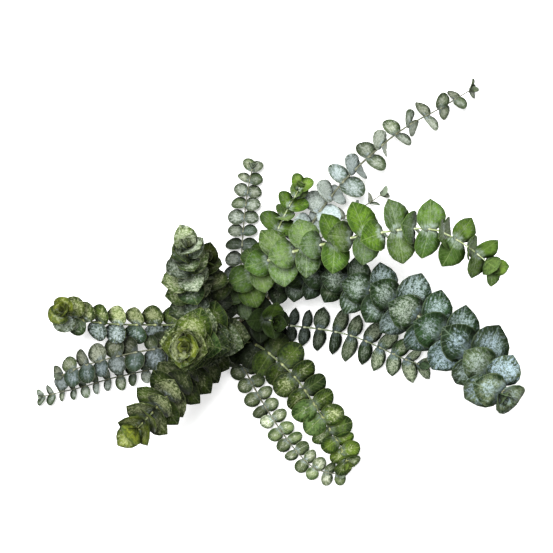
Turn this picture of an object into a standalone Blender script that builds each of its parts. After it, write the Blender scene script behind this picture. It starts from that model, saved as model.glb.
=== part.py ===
"""Cut branch of round-leaved juvenile eucalyptus, lying on a surface.

A short woody stem carries leafy stems that leave it in all directions. Each leafy stem is a
tapering tube that bends through a few points of its own, and opposite pairs of stalkless round
leaves, each pair turned a quarter turn to the one before. Metres, +Z up, on the plane z = 0.
"""

import math
import random
from dataclasses import dataclass

import bmesh
import bpy
from mathutils import Quaternion, Vector
from mathutils.bvhtree import BVHTree

MM = 0.001
UP = Vector((0, 0, 1))
GAP = 0.3 * MM  # between two pieces that touch
WELD = 0.01 * MM
CURVE_SAMPLES = 12  # between two of a route's points, before it is spaced evenly
SEED = 41

# The whole branch is placed so that its box is centred over the origin.
HUB = Vector((-30.5 * MM, -48.5 * MM, 0))

# Woody stem
WOOD_ROUTE = ((-83, -79, 4.6), (-42, -39, 4.6), (0, 0, 4.6), (29, 28, 6), (54, 55, 9))
WOOD_RADIUS_CUT_END = 4.9 * MM
WOOD_RADIUS_FAR_END = 3.0 * MM
WOOD_STEP = 6 * MM
WOOD_BEVEL = 3  # curve bevel resolution, for ten sides
NODE_SWELLING = 0.10  # of the radius, where a leafy stem leaves
NODE_HALF_LENGTH = 5 * MM

# Stems of the leafy stems
STEM_STEP = 13 * MM
STEM_BEVEL = 0  # four sides
STEM_TIP_RADIUS = 0.55 * MM
SLOPE_REACH = 2 * MM  # either side of a point, to find which way the stem runs there
FOOT_LENGTH = 3 * MM  # how far a stem runs straight out of the wood

# Leaves
BLADE_SEGMENTS = 8
BLADE_THICKNESS = 1.1 * MM  # at its middle
BLADE_MIDDLE = 0.47  # of its length, from the base
TIP_POINT = 0.06  # how far the tip is drawn out, of the length
CUP = 0.10  # how far the rim lifts, of the width
TIP_DROOP = 0.35  # how far the tip bends down again, of that lift
ROOT_OFFSET = 0.3  # of the stem's radius, from its middle to where a leaf starts
END_GAP = 1.5 * MM  # from the last pair to the end of the stem
CLOSE_POWER = 5  # how late they fold up towards the tip
LEAST_SPREAD = math.radians(8)
UPRIGHT = 0.05  # of the sky's part across a midrib: below it, a blade has no side to turn up
FADE_SPREAD = math.radians(60)  # a blade that looks further down than this turns less
ANGLE_JITTER = math.radians(9)
TURN_JITTER = math.radians(14)
SIZE_JITTER = 0.08
LENGTH_JITTER = 0.05
LIGHT_JITTER = 0.3
LIFTS = (0, 12, 24, 36, 48)  # degrees that a leaf folds towards the tip to clear what is near
SIZES = (1.0, 0.85, 0.7)


@dataclass(frozen=True)
class LeafyStem:
    """One leafy stem: where it leaves the wood, where it runs and what leaves it bears."""

    name: str
    color: tuple
    seat: float  # mm along the wood from the cut end
    radius: float  # mm, of its stem at the foot
    bare: float  # share of its length before the first pair
    pairs: int
    ranks: int  # 4 where each pair crosses the last, 2 where all lie in one plane
    turn: float  # degrees that the first pair is turned about the stem
    spread: float  # degrees between a leaf and its stem
    light: float  # how far the blades turn to face upwards
    leaf: float  # mm, width of its largest leaves
    slender: float  # length of a leaf for each mm of width
    tip_size: float  # size of its last leaves, as a share of the largest
    route: tuple  # mm from the hub
    base_size: float = 1  # size of its first leaves, as a share of the largest
    peak: float = 0  # share of its length where the leaves are largest
    recline: float = 0  # degrees that a leaf which points up leans further back
    crowding: float = 1  # how much closer together its smaller leaves stand
    taper: float = 2.2  # how late its leaves grow smaller towards the tip
    closing: float = 30  # degrees between its last leaves and their stem


GREEN = (0.115, 0.235, 0.045, 1)
BLUE_GREEN = (0.065, 0.140, 0.105, 1)
GREY = (0.190, 0.260, 0.230, 1)
OLIVE = (0.105, 0.150, 0.045, 1)
BARK = (0.130, 0.095, 0.050, 1)
BARK_ROUGHNESS = 0.8
LEAF_ROUGHNESS = 0.6

LEAFY_STEMS = (
    LeafyStem(
        "leafy_stem_right_green", GREEN, seat=150, radius=1.9, bare=0.12,
        pairs=23, ranks=4, turn=0, spread=100, light=0.66,
        leaf=31.5, slender=1.0, tip_size=0.42, closing=45,
        route=((10, 36, 50), (19, 58, 82), (40, 75, 102), (80, 86, 124), (136, 98, 144),
               (191, 103, 160), (221, 90, 167), (241, 75, 170), (252, 64, 172)),
        base_size=0.86, peak=0.55, recline=14,
    ),
    LeafyStem(
        "leafy_stem_right_blue", BLUE_GREEN, seat=161, radius=1.9, bare=0.14,
        pairs=22, ranks=4, turn=0, spread=102, light=0.66,
        leaf=39, slender=0.98, tip_size=0.74, closing=92,
        route=((38, 42, 42), (72, 56, 64), (120, 50, 87), (165, 31, 108), (192, 13, 124),
               (215, -4, 140), (236, -20, 156), (248, -34, 174), (256, -53, 196)),
        base_size=0.6, peak=0.76, recline=34,
    ),
    LeafyStem(
        "leafy_stem_leader", OLIVE, seat=114, radius=1.8, bare=0.24,
        pairs=16, ranks=4, turn=20, spread=72, light=0,
        leaf=34, slender=1.0, tip_size=0.74,
        route=((-13, -2, 60), (-24, -2, 110), (-33, -4, 160), (-38, -6, 205), (-39, -7, 222)),
    ),
    LeafyStem(
        "leafy_stem_up_left", OLIVE, seat=127, radius=1.7, bare=0.24,
        pairs=14, ranks=4, turn=0, spread=72, light=0.15,
        leaf=28, slender=1.0, tip_size=0.76,
        route=((-24, 8, 45), (-35, 20, 85), (-42, 38, 125), (-42, 63, 170), (-38, 84, 204)),
    ),
    LeafyStem(
        "leafy_stem_down_left", OLIVE, seat=74, radius=1.8, bare=0.22,
        pairs=16, ranks=4, turn=0, spread=76, light=0.25,
        leaf=32, slender=1.0, tip_size=0.7,
        route=((-28, -23, 50), (-44, -41, 90), (-63, -61, 125), (-79, -79, 153),
               (-90, -90, 167)),
    ),
    LeafyStem(
        "leafy_stem_upper_right", GREY, seat=200, radius=1.5, bare=0.16,
        pairs=14, ranks=4, turn=30, spread=76, light=0.7,
        leaf=28, slender=1.08, tip_size=0.48, closing=60,
        route=((75, 101, 30), (109, 150, 42), (146, 187, 42), (182, 216, 36), (221, 238, 28),
               (255, 259, 20)),
        recline=22, crowding=0, taper=1,
    ),
    LeafyStem(
        "leafy_stem_lower_right", GREEN, seat=105, radius=1.5, bare=0.08,
        pairs=12, ranks=2, turn=0, spread=84, light=0.84,
        leaf=27, slender=1.0, tip_size=0.60, closing=55,
        route=((23, -17, 28), (41, -29, 40), (65, -51, 45), (85, -80, 42), (100, -104, 35),
               (112, -124, 28), (121, -144, 22)),
    ),
    LeafyStem(
        "leafy_stem_left_tip_up", OLIVE, seat=97, radius=1.4, bare=0.22,
        pairs=9, ranks=2, turn=18, spread=86, light=0.8,
        leaf=25, slender=0.85, tip_size=0.95, closing=52,
        route=((-38, 3, 26), (-74, 5, 42), (-121, 6, 52), (-154, 10, 62), (-169, 17, 78),
               (-173, 22, 98)),
    ),
    LeafyStem(
        "leafy_stem_left", GREY, seat=87, radius=1.3, bare=0.20,
        pairs=9, ranks=2, turn=-18, spread=84, light=0.8,
        leaf=23, slender=0.96, tip_size=0.62, closing=50,
        route=((-44, -17, 24), (-74, -19, 44), (-111, -25, 50), (-143, -33, 48),
               (-170, -42, 42), (-185, -49, 38)),
    ),
    LeafyStem(
        "leafy_stem_left_thin", GREY, seat=58, radius=1.0, bare=0.16,
        pairs=12, ranks=2, turn=-12, spread=78, light=0.66,
        leaf=13, slender=1.15, tip_size=0.70, closing=50,
        route=((-60, -34, 10), (-93, -45, 8), (-137, -55, 7), (-170, -65, 7),
               (-192, -70, 6), (-212, -75, 6)),
    ),
    LeafyStem(
        "leafy_stem_up_thin", GREY, seat=145, radius=1.1, bare=0.18,
        pairs=10, ranks=2, turn=0, spread=84, light=0.64,
        leaf=18, slender=1.0, tip_size=0.72, closing=50,
        route=((5, 33, 11), (6, 73, 10), (9, 117, 10), (13, 150, 9), (18, 175, 9)),
    ),
    LeafyStem(
        "leafy_stem_up_short", GREEN, seat=174, radius=1.2, bare=0.34,
        pairs=7, ranks=4, turn=0, spread=70, light=0.50,
        leaf=22, slender=1.05, tip_size=0.62,
        route=((38, 72, 25), (44, 101, 32), (55, 126, 42), (64, 141, 50), (69, 151, 56)),
    ),
    LeafyStem(
        "leafy_stem_lower_right_thin", GREY, seat=78, radius=1.1, bare=0.16,
        pairs=13, ranks=2, turn=0, spread=84, light=0.84,
        leaf=17, slender=0.98, tip_size=0.80, closing=60,
        route=((0, -23, 11), (7, -39, 10), (23, -70, 9), (42, -101, 9), (65, -133, 8),
               (87, -154, 8), (113, -160, 8)),
    ),
    LeafyStem(
        "leafy_stem_right_narrow", BLUE_GREEN, seat=125, radius=1.2, bare=0.20,
        pairs=11, ranks=2, turn=0, spread=80, light=0.66,
        leaf=21, slender=1.3, tip_size=0.72,
        route=((43, 4, 14), (70, 2, 15), (101, -2, 15), (133, -10, 14), (164, -24, 13),
               (183, -33, 12), (201, -39, 11)),
        base_size=0.6, peak=0.35,
    ),
    LeafyStem(
        "leafy_stem_behind_green", GREY, seat=187, radius=1.1, bare=0.16,
        pairs=8, ranks=4, turn=30, spread=74, light=0.30,
        leaf=14, slender=1.1, tip_size=0.75,
        route=((81, 85, 20), (113, 118, 24), (140, 133, 24), (159, 146, 20)),
    ),
    LeafyStem(
        "leafy_stem_up_left_low", OLIVE, seat=138, radius=1.4, bare=0.34,
        pairs=10, ranks=4, turn=45, spread=72, light=0.25,
        leaf=26, slender=1.0, tip_size=0.74,
        route=((-14, 23, 40), (-21, 30, 70), (-24, 43, 100), (-25, 59, 128), (-24, 71, 145)),
    ),
    LeafyStem(
        "leafy_stem_middle", OLIVE, seat=133, radius=1.3, bare=0.30,
        pairs=6, ranks=4, turn=0, spread=74, light=0.20,
        leaf=26, slender=1.0, tip_size=0.60,
        route=((18, 12, 42), (32, 13, 70), (42, 10, 92)),
    ),
)


def from_hub(point):
    """Turn millimetres from the hub into a place in the branch's own frame."""
    return HUB + Vector(point) * MM


def spline_point(before, start, end, after, t):
    """Catmull-Rom spline between start and end."""
    return 0.5 * (
        2 * start
        + (end - before) * t
        + (2 * before - 5 * start + 4 * end - after) * t**2
        + (3 * start - before - 3 * end + after) * t**3
    )


def smooth_route(points, step):
    """Evenly spaced points, about a step apart, on a smooth curve through the given ones.

    Two more points, close to the start, keep its first stretch square to what it grows from.
    """
    padded = [2 * points[0] - points[1], *points, 2 * points[-1] - points[-2]]
    dense = [points[0]]
    for i in range(1, len(padded) - 2):
        for k in range(CURVE_SAMPLES):
            dense.append(spline_point(*padded[i - 1 : i + 3], (k + 1) / CURVE_SAMPLES))
    reach = [0.0]
    for a, b in zip(dense, dense[1:]):
        reach.append(reach[-1] + (b - a).length)
    count = max(2, round(reach[-1] / step))
    distances = [0, FOOT_LENGTH / 2, FOOT_LENGTH]
    distances += [reach[-1] * (k + 1) / count for k in range(count)]
    return [point_at(dense, reach, distance) for distance in distances]


def point_at(route, reach, distance):
    """The place at a distance along a route, given the distance of each of its points."""
    i = 1
    while i < len(route) - 1 and reach[i] < distance:
        i += 1
    share = (distance - reach[i - 1]) / (reach[i] - reach[i - 1])
    return route[i - 1].lerp(route[i], share)


class Path:
    """A smooth route that gives its place and direction at any distance along it."""

    def __init__(self, points, step):
        self.points = smooth_route(points, step)
        self.reach = [0.0]
        for a, b in zip(self.points, self.points[1:]):
            self.reach.append(self.reach[-1] + (b - a).length)
        self.length = self.reach[-1]
        heading = self.points[-1] - self.points[0]
        self.side = heading.cross(UP).normalized()

    def at(self, distance):
        """The place at a distance from the foot."""
        return point_at(self.points, self.reach, distance)

    def direction(self, distance):
        """Which way the path runs at a distance from the foot."""
        near = max(distance - SLOPE_REACH, 0)
        far = min(distance + SLOPE_REACH, self.length)
        return (self.at(far) - self.at(near)).normalized()

    def frame(self, distance):
        """Direction, side and back of the path: three unit vectors at right angles."""
        along = self.direction(distance)
        side = (self.side - along * self.side.dot(along)).normalized()
        return along, side, side.cross(along)


def wood_radius(distance, length):
    """Radius of the wood at a distance from its cut end, with a swelling at each seat."""
    radius = WOOD_RADIUS_CUT_END
    radius += (WOOD_RADIUS_FAR_END - WOOD_RADIUS_CUT_END) * distance / length
    nearest = min(abs(distance - plan.seat * MM) for plan in LEAFY_STEMS)
    swelling = max(0.0, 1 - (nearest / NODE_HALF_LENGTH) ** 2)
    return radius * (1 + NODE_SWELLING * swelling)


def stem_radius(plan, share):
    """Radius of a leafy stem's own stem at a share of its length."""
    return plan.radius * MM + (STEM_TIP_RADIUS - plan.radius * MM) * share


def stem_route(plan, wood):
    """The points of a leafy stem's route, with its foot on the wood."""
    first = from_hub(plan.route[0])
    if plan.seat * MM > wood.length:
        out = wood.direction(wood.length)
        foot = wood.at(wood.length) + out * GAP
    else:
        middle = wood.at(plan.seat * MM)
        along = wood.direction(plan.seat * MM)
        out = first - middle
        out = (out - along * out.dot(along)).normalized()
        foot = middle + out * (wood_radius(plan.seat * MM, wood.length) + GAP)
    straight = [foot + out * FOOT_LENGTH * k for k in range(3)]
    return straight + [from_hub(point) for point in plan.route]


def link(mesh, name, collection):
    """Put a mesh into the scene as an object of its own."""
    piece = bpy.data.objects.new(name, mesh)
    collection.objects.link(piece)
    return piece


def tube(name, points, radii, bevel, collection):
    """A mesh tube with closed ends through the points, made from a bevelled curve."""
    curve = bpy.data.curves.new(name, "CURVE")
    curve.dimensions = "3D"
    curve.bevel_depth = 1
    curve.bevel_resolution = bevel
    curve.use_fill_caps = True
    spline = curve.splines.new("POLY")
    spline.points.add(len(points) - 1)
    for spot, place, radius in zip(spline.points, points, radii):
        spot.co = (*place, 1)
        spot.radius = radius
    guide = link(curve, name + "_guide", collection)
    bpy.context.view_layer.update()
    depsgraph = bpy.context.evaluated_depsgraph_get()
    mesh = bpy.data.meshes.new_from_object(guide.evaluated_get(depsgraph))
    mesh.name = name
    cage = bmesh.new()
    cage.from_mesh(mesh)
    bmesh.ops.remove_doubles(cage, verts=cage.verts, dist=WELD)
    bmesh.ops.recalc_face_normals(cage, faces=cage.faces)
    cage.to_mesh(mesh)
    cage.free()
    piece = link(mesh, name, collection)
    piece.matrix_world = guide.matrix_world.copy()
    bpy.data.objects.remove(guide)
    return piece


@dataclass
class Leaf:
    """A blade's place, its two directions and its size."""

    base: Vector
    midrib: Vector
    face: Vector
    width: float
    length: float

    def place(self, x, y, z):
        """A point given along the midrib, across it and out of the upper face."""
        return self.base + self.midrib * x + self.face.cross(self.midrib) * y + self.face * z


def blade_cage(leaf, margin=0.0):
    """A thin round closed blade with a pointed tip: a squashed sphere of two cones."""
    cage = bmesh.new()
    bmesh.ops.create_uvsphere(cage, u_segments=BLADE_SEGMENTS, v_segments=2, radius=1)
    half = BLADE_THICKNESS / 2 + margin
    for vert in cage.verts:
        x, y, z = vert.co
        away = math.hypot(x, y)
        across = y * (leaf.width / 2 + margin)
        point = TIP_POINT * max(0.0, x) ** 4
        ahead = leaf.length * (BLADE_MIDDLE * (1 + x) + point) + margin * x
        lift = CUP * leaf.width * (y * y - TIP_DROOP * max(0.0, x) ** 2) * away
        vert.co = leaf.place(ahead, across, lift + half * z)
    return cage


def turned_to_light(midrib, face, light):
    """The upper face turned about the midrib towards the sky, unless it looks away from it."""
    sky = UP - midrib * midrib.z
    if sky.length < UPRIGHT:
        return face
    sky.normalize()
    angle = face.angle(sky)
    if face.cross(sky).dot(midrib) < 0:
        angle = -angle
    fading = min(1.0, max(0.0, (math.pi - abs(angle)) / FADE_SPREAD))
    return Quaternion(midrib, angle * light * fading) @ face


def leaf_size(plan, share):
    """Size of the leaves at a share of the stem's pairs, as a share of the largest."""
    if share < plan.peak:
        return 1 - (1 - plan.base_size) * (1 - share / plan.peak)
    return 1 - (1 - plan.tip_size) * ((share - plan.peak) / (1 - plan.peak)) ** plan.taper


def leaf_plans(plan, path, draw):
    """Every leaf of a stem, in pairs from the foot to the tip, with its own random draws."""
    sizes = [leaf_size(plan, k / plan.pairs) for k in range(plan.pairs)]
    steps = [size**plan.crowding for size in sizes]
    distance = plan.bare * path.length
    pace = (path.length - distance - END_GAP) / sum(steps[1:])
    quarter = math.pi / 2 if plan.ranks == 4 else 0
    for k, size in enumerate(sizes):
        distance += steps[k] * pace if k else 0
        share = k / (plan.pairs - 1)
        along, side, back = path.frame(distance)
        for opposite in (0, math.pi):
            turn = math.radians(plan.turn) + k * quarter + opposite
            turn += draw.uniform(-1, 1) * TURN_JITTER
            out = side * math.cos(turn) + back * math.sin(turn)
            spread = math.radians(plan.spread + plan.recline * max(0.0, out.z))
            angle = spread + (math.radians(plan.closing) - spread) * share**CLOSE_POWER
            angle += draw.uniform(-1, 1) * ANGLE_JITTER
            width = plan.leaf * MM * size * (1 + draw.uniform(-1, 1) * SIZE_JITTER)
            length = width * plan.slender * (1 + draw.uniform(-1, 1) * LENGTH_JITTER)
            light = plan.light * (1 + draw.uniform(-1, 1) * LIGHT_JITTER)
            root = ROOT_OFFSET * stem_radius(plan, distance / path.length)
            yield path.at(distance) + out * root, along, out, angle, width, length, light


def leaf_poses(base, along, out, angle, width, length, light):
    """The leaf as it would like to grow, then ever more folded and smaller."""
    for size in SIZES:
        for lift in LIFTS:
            spread = max(angle - math.radians(lift), LEAST_SPREAD)
            midrib = along * math.cos(spread) + out * math.sin(spread)
            face = along * math.sin(spread) - out * math.cos(spread)
            face = turned_to_light(midrib, face, light)
            yield Leaf(base, midrib, face, width * size, length * size)


def clears(leaf, others):
    """Whether a blade, with the gap round it, stays above the surface and off the others."""
    cage = blade_cage(leaf, GAP)
    lowest = min(vert.co.z for vert in cage.verts)
    shape = BVHTree.FromBMesh(cage)
    cage.free()
    return lowest > 0 and not any(shape.overlap(other) for other in others)


def keep_main_body(mesh):
    """Fill the hollows that fusing sealed and drop loose scraps: keep the largest shell."""
    cage = bmesh.new()
    cage.from_mesh(mesh)
    unseen = set(cage.verts)
    shells = []
    while unseen:
        start = unseen.pop()
        shell = [start]
        front = [start]
        while front:
            vert = front.pop()
            for edge in vert.link_edges:
                other = edge.other_vert(vert)
                if other in unseen:
                    unseen.remove(other)
                    shell.append(other)
                    front.append(other)
        shells.append(shell)
    shells.sort(key=len)
    for shell in shells[:-1]:
        bmesh.ops.delete(cage, geom=shell, context="VERTS")
    cage.to_mesh(mesh)
    cage.free()


def joined(piece, blades):
    """One Boolean union of a stem with the collection of its blades, applied."""
    union = piece.modifiers.new("leaves", "BOOLEAN")
    union.operation = "UNION"
    union.operand_type = "COLLECTION"
    union.collection = blades
    bpy.context.view_layer.update()
    depsgraph = bpy.context.evaluated_depsgraph_get()
    mesh = bpy.data.meshes.new_from_object(piece.evaluated_get(depsgraph))
    mesh.name = piece.name
    keep_main_body(mesh)
    piece.modifiers.remove(union)
    piece.data = mesh
    for blade in list(blades.objects):
        bpy.data.objects.remove(blade)


def surface_of(piece):
    """The piece's surface, for testing what crosses it."""
    cage = bmesh.new()
    cage.from_mesh(piece.data)
    shape = BVHTree.FromBMesh(cage)
    cage.free()
    return shape


def paint(piece, name, color, roughness):
    """Give a piece a material of its own, with no metal in it."""
    material = bpy.data.materials.new(name)
    material.use_nodes = True
    shader = material.node_tree.nodes["Principled BSDF"]
    shader.inputs["Base Color"].default_value = color
    shader.inputs["Roughness"].default_value = roughness
    shader.inputs["Metallic"].default_value = 0
    piece.data.materials.clear()
    piece.data.materials.append(material)


def woody_stem(wood, collection):
    """The cut piece of branch, cut flat along the strip that it lies on."""
    radii = [wood_radius(reach, wood.length) for reach in wood.reach]
    piece = tube("woody_stem", wood.points, radii, WOOD_BEVEL, collection)
    cage = bmesh.new()
    cage.from_mesh(piece.data)
    everything = [*cage.verts, *cage.edges, *cage.faces]
    cut = bmesh.ops.bisect_plane(
        cage, geom=everything, plane_co=(0, 0, 0), plane_no=(0, 0, -1), clear_outer=True
    )
    rim = [item for item in cut["geom_cut"] if isinstance(item, bmesh.types.BMEdge)]
    bmesh.ops.holes_fill(cage, edges=rim)
    bmesh.ops.recalc_face_normals(cage, faces=cage.faces)
    cage.to_mesh(piece.data)
    cage.free()
    paint(piece, "bark", BARK, BARK_ROUGHNESS)
    return piece


def grow_stems(wood, collection):
    """The bare stems of all the leafy stems, each with its path."""
    grown = []
    for plan in LEAFY_STEMS:
        path = Path(stem_route(plan, wood), STEM_STEP)
        radii = [stem_radius(plan, reach / path.length) for reach in path.reach]
        piece = tube(plan.name, path.points, radii, STEM_BEVEL, collection)
        grown.append((plan, path, piece))
    return grown


def grow_leaves(plan, path, number, piece, others, bench):
    """Put leaves on a stem wherever there is room for them, and fuse them with it."""
    draw = random.Random(SEED + number)
    for growth in leaf_plans(plan, path, draw):
        for leaf in leaf_poses(*growth):
            if not clears(leaf, others):
                continue
            cage = blade_cage(leaf)
            mesh = bpy.data.meshes.new("blade")
            cage.to_mesh(mesh)
            cage.free()
            link(mesh, "blade", bench)
            break
    joined(piece, bench)


def build():
    """Clear the scene and grow the branch: wood first, then stems, then leaves."""
    for old in list(bpy.data.objects):
        bpy.data.objects.remove(old)
    branch = bpy.data.collections.new("eucalyptus_branch")
    bench = bpy.data.collections.new("blades")
    bpy.context.scene.collection.children.link(branch)
    bpy.context.scene.collection.children.link(bench)
    wood = Path([from_hub(point) for point in WOOD_ROUTE], WOOD_STEP)
    wood_piece = woody_stem(wood, branch)
    grown = grow_stems(wood, branch)
    surfaces = {plan.name: surface_of(piece) for plan, path, piece in grown}
    surfaces["woody_stem"] = surface_of(wood_piece)
    for number, (plan, path, piece) in enumerate(grown):
        others = [surfaces[name] for name in surfaces if name != plan.name]
        grow_leaves(plan, path, number, piece, others, bench)
        surfaces[plan.name] = surface_of(piece)
        paint(piece, plan.name, plan.color, LEAF_ROUGHNESS)
    bpy.data.collections.remove(bench)


build()
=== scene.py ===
"""Looks of a cut branch of round-leaved juvenile eucalyptus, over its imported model.

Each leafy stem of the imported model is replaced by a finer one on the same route. Its leaves
stand where the model's blades stand, which is found from the corners of the model's own node,
and small folded leaves close its tip. Metres, +Z up, on the plane z = 0.
"""

import logging
import math
import random
from dataclasses import dataclass
from enum import Enum
from itertools import accumulate
from typing import Callable, Iterable, Iterator

import bmesh
import bpy
import numpy as np
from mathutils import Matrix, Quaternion, Vector
from mathutils.kdtree import KDTree

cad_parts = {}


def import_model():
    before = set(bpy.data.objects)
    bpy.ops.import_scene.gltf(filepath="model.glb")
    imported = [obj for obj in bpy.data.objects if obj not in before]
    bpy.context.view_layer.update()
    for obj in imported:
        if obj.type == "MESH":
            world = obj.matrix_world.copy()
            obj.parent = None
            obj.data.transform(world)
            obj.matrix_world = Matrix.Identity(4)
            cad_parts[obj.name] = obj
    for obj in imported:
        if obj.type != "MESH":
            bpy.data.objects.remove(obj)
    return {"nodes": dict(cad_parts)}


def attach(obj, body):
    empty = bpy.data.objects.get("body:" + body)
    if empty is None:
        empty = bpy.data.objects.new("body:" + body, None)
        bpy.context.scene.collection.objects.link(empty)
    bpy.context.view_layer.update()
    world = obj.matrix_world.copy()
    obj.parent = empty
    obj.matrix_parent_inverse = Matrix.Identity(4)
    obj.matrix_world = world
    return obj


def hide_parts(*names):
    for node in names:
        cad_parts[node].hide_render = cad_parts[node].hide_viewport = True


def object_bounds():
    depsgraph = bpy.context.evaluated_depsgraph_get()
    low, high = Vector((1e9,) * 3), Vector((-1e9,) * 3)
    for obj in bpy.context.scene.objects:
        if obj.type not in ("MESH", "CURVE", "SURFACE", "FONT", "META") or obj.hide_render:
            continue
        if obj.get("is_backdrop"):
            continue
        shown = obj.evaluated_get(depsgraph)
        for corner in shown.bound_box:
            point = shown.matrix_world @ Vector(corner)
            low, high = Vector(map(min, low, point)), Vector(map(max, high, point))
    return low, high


MM = 0.001
UP = Vector((0, 0, 1))
GAP = 0.3 * MM  # between the wood and the foot of a leafy stem
WELD = 0.01 * MM  # corners nearer than this are one
BODY = "root"
SEED = 41
HUB = Vector((-30.5 * MM, -48.5 * MM, 0))

Colour = tuple[float, float, float]
Point = tuple[float, float, float]

log = logging.getLogger("eucalyptus_branch")


def from_hub(point: Point) -> Vector:
    """Turn millimetres from the hub into a place in the branch's own frame."""
    return HUB + Vector(point) * MM


def blend(ends: tuple[float, float], share: float) -> float:
    """The value at a share of the way from the first of two values to the second."""
    return ends[0] + (ends[1] - ends[0]) * share


def turned(first: Vector, second: Vector, angle: float) -> Vector:
    """The first of two directions at right angles, turned towards the second."""
    return first * math.cos(angle) + second * math.sin(angle)


def select_only(piece: bpy.types.Object) -> None:
    """Deselect everything, then make one object the selected and active one.

    Args:
        piece: The object that the next operators work on.
    """
    bpy.ops.object.select_all(action="DESELECT")
    piece.select_set(True)
    bpy.context.view_layer.objects.active = piece


def mark_corners(mesh: bpy.types.Mesh, name: str, values: Iterable[float]) -> None:
    """Give each corner of a mesh its own number, as an attribute."""
    layer = mesh.attributes.get(name) or mesh.attributes.new(name, "FLOAT", "POINT")
    layer.data.foreach_set("value", list(values))


def search_tree(places: list[Vector]) -> KDTree:
    """Sort places, so that the one nearest to another place is found fast.

    Args:
        places: The places, which the tree numbers from 0.

    Returns:
        The tree.
    """
    tree = KDTree(len(places))
    for number, place in enumerate(places):
        tree.insert(place, number)
    tree.balance()
    return tree


class EditMode:
    """Edit-mode work on one mesh, where corners are picked by their place."""

    def __init__(self, piece: bpy.types.Object) -> None:
        """Keep the mesh object that is worked on."""
        self.piece = piece

    def __enter__(self) -> "EditMode":
        """Go into edit mode with nothing picked.

        Returns:
            Itself.
        """
        select_only(self.piece)
        bpy.ops.object.mode_set(mode="EDIT")
        bpy.ops.mesh.select_mode(type="VERT")
        bpy.ops.mesh.select_all(action="DESELECT")
        return self

    def __exit__(self, *problem: object) -> None:
        """Go back to object mode."""
        bpy.ops.object.mode_set(mode="OBJECT")

    def pick(self, test: Callable[[bmesh.types.BMVert], bool]) -> None:
        """Select the corners that pass a test, and the edges and faces between them.

        Args:
            test: Says of a corner whether it is picked.
        """
        cage = bmesh.from_edit_mesh(self.piece.data)
        for vert in cage.verts:
            vert.select = test(vert)
        cage.select_flush_mode()
        bmesh.update_edit_mesh(self.piece.data)


# Shader nodes


class Value:
    """A number that comes out of a node and takes part in arithmetic."""

    def __init__(self, finish: "NodeFinish", socket: bpy.types.NodeSocket) -> None:
        """Keep the finish that the socket belongs to."""
        self.finish = finish
        self.socket = socket

    def _math(self, operation: str, *others: "Value | float") -> "Value":
        """One Math node on this value and others."""
        return self.finish.value("Math", dict(enumerate((self, *others))), operation=operation)

    def __add__(self, other: "Value | float") -> "Value":
        """Sum."""
        return self._math("ADD", other)

    def __sub__(self, other: "Value | float") -> "Value":
        """Difference."""
        return self._math("SUBTRACT", other)

    def __rsub__(self, other: float) -> "Value":
        """A number less this value."""
        return (self * -1.0) + other

    def __mul__(self, other: "Value | float") -> "Value":
        """Product."""
        return self._math("MULTIPLY", other)

    def __pow__(self, other: float) -> "Value":
        """Power."""
        return self._math("POWER", other)

    def __abs__(self) -> "Value":
        """Size without its sign."""
        return self._math("ABSOLUTE")

    def part(self) -> "Value":
        """What is left after the whole number below it is taken off."""
        return self._math("FRACT")

    def lower(self, other: "Value | float") -> "Value":
        """The lower of two values."""
        return self._math("MINIMUM", other)

    def higher(self, other: "Value | float") -> "Value":
        """The higher of two values."""
        return self._math("MAXIMUM", other)

    def step(self, low: float, high: float) -> "Value":
        """A soft step from 0 at low to 1 at high, or down where low is the larger."""
        sockets = {"Value": self, "From Min": low, "From Max": high}
        return self.finish.value("MapRange", sockets, interpolation_type="SMOOTHSTEP", clamp=True)


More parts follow.
